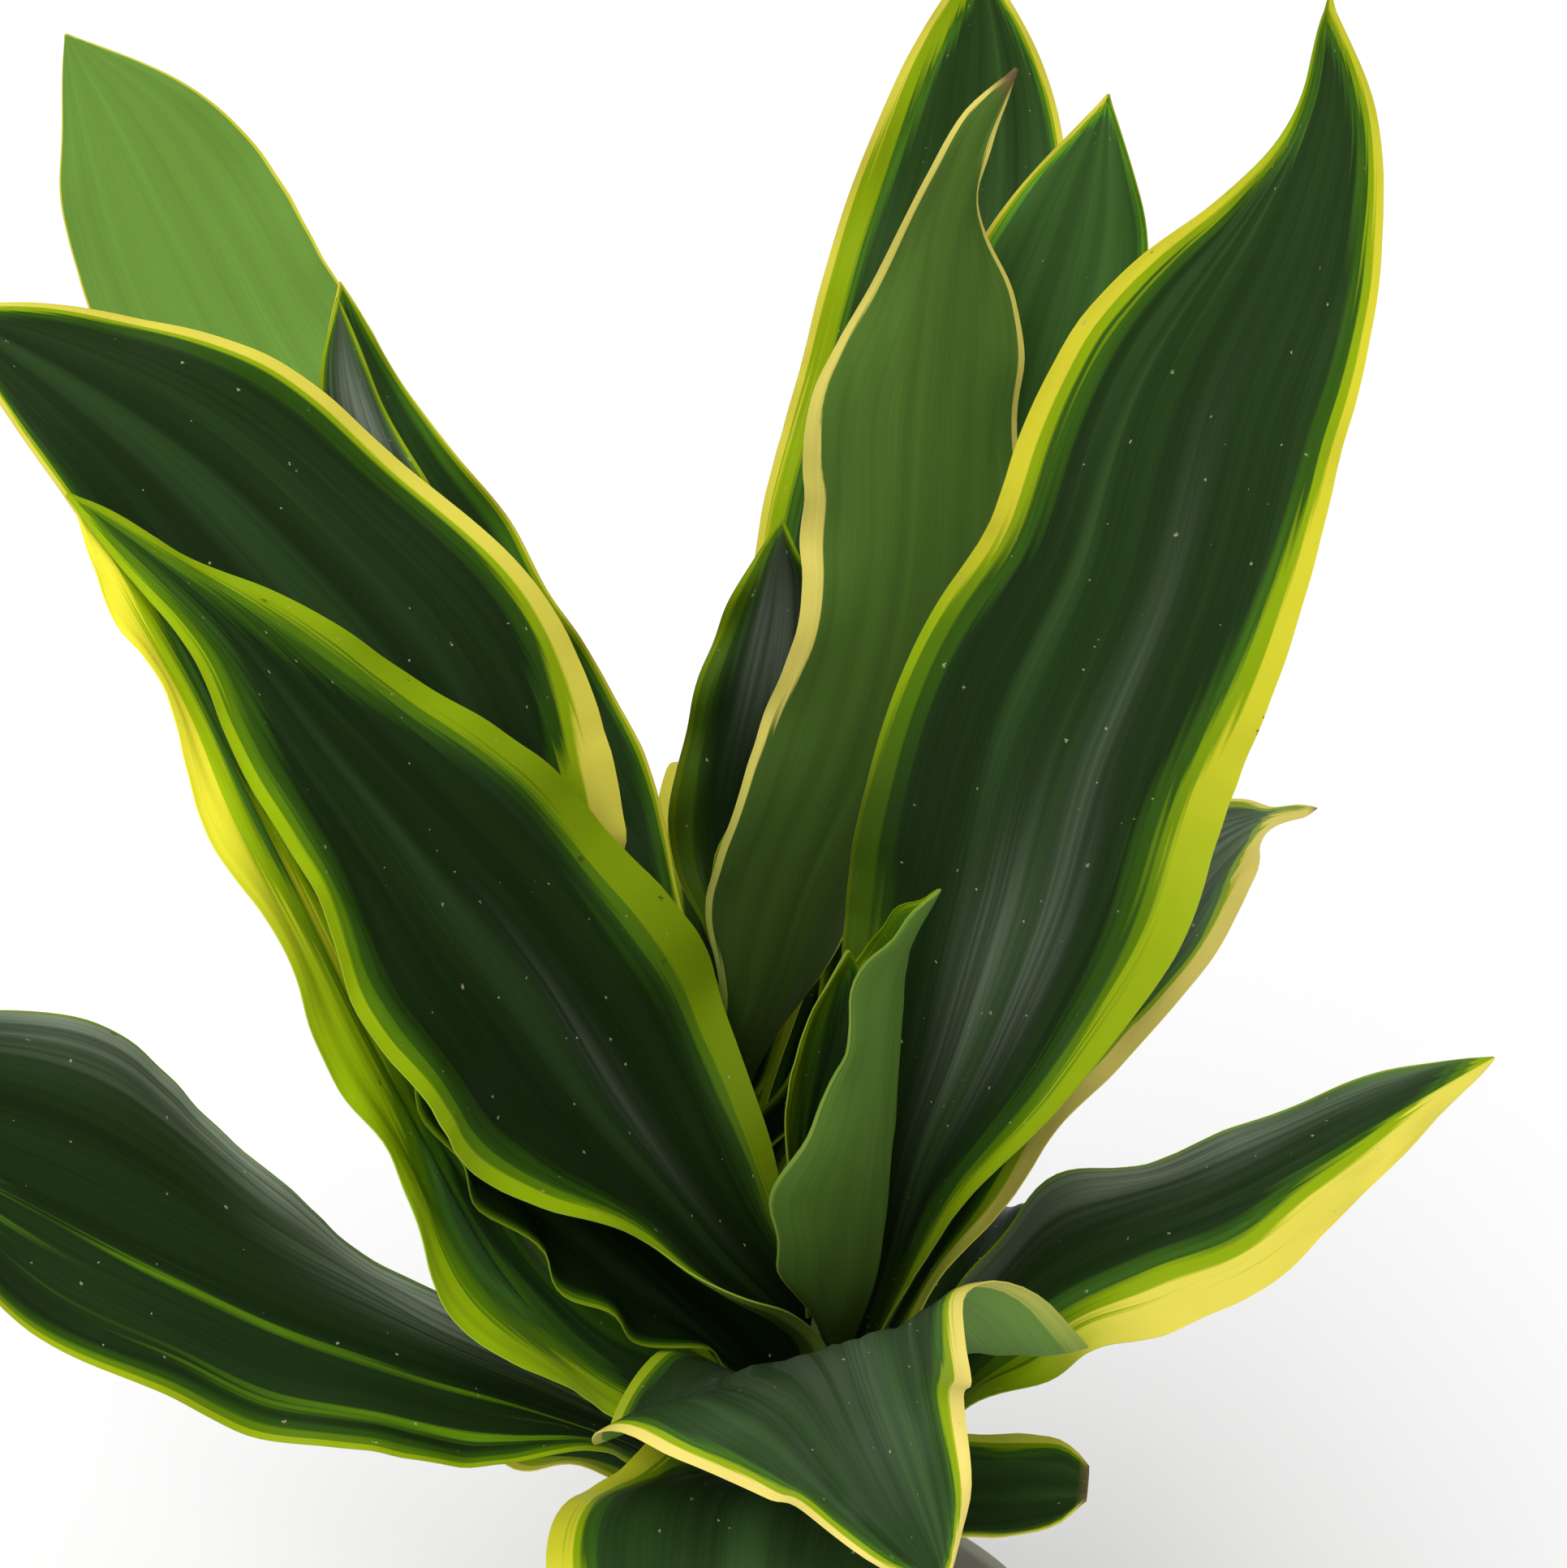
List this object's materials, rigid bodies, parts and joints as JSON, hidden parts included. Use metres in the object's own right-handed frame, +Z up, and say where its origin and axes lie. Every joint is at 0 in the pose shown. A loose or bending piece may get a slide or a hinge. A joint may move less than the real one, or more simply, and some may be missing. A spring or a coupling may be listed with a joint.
{
  "type": "potted gold coast dracaena",
  "caption": "Foliage houseplant in a plain tapered pot: two crowns of broad, dark green strap leaves with waved yellow and lime margins, on short woody canes in soil.",
  "frame": {"origin": "centre of the pot's flat underside", "axes": "+Z up along the pot's axis, -Y towards the viewer of the picture, +X to the viewer's right"},
  "size_m": [0.3355, 0.3329, 0.527],
  "materials": {
    "pot": "satin",
    "soil": "matte",
    "cane": "matte",
    "leaf": "satin"
  },
  "bodies": {
    "root": {"pot": "pot", "soil": "soil", "cane_front": "cane", "cane_back": "cane", "bud_front": "leaf", "leaf_front_young": "leaf", "leaf_front_01": "leaf", "leaf_front_02": "leaf", "leaf_front_03": "leaf", "leaf_front_04": "leaf", "leaf_front_05": "leaf", "leaf_front_06": "leaf", "leaf_front_07": "leaf", "leaf_front_08": "leaf", "leaf_front_09": "leaf", "leaf_front_10": "leaf", "leaf_front_11": "leaf", "leaf_front_12": "leaf", "leaf_front_13": "leaf", "leaf_front_14": "leaf", "bud_back": "leaf", "leaf_back_01": "leaf", "leaf_back_02": "leaf", "leaf_back_03": "leaf", "leaf_back_04": "leaf", "leaf_back_05": "leaf", "leaf_back_06": "leaf", "leaf_back_07": "leaf", "leaf_back_08": "leaf", "leaf_back_09": "leaf", "leaf_back_10": "leaf", "leaf_back_11": "leaf", "leaf_back_12": "leaf", "leaf_back_13": "leaf", "leaf_back_14": "leaf"}
  },
  "joints": []
}
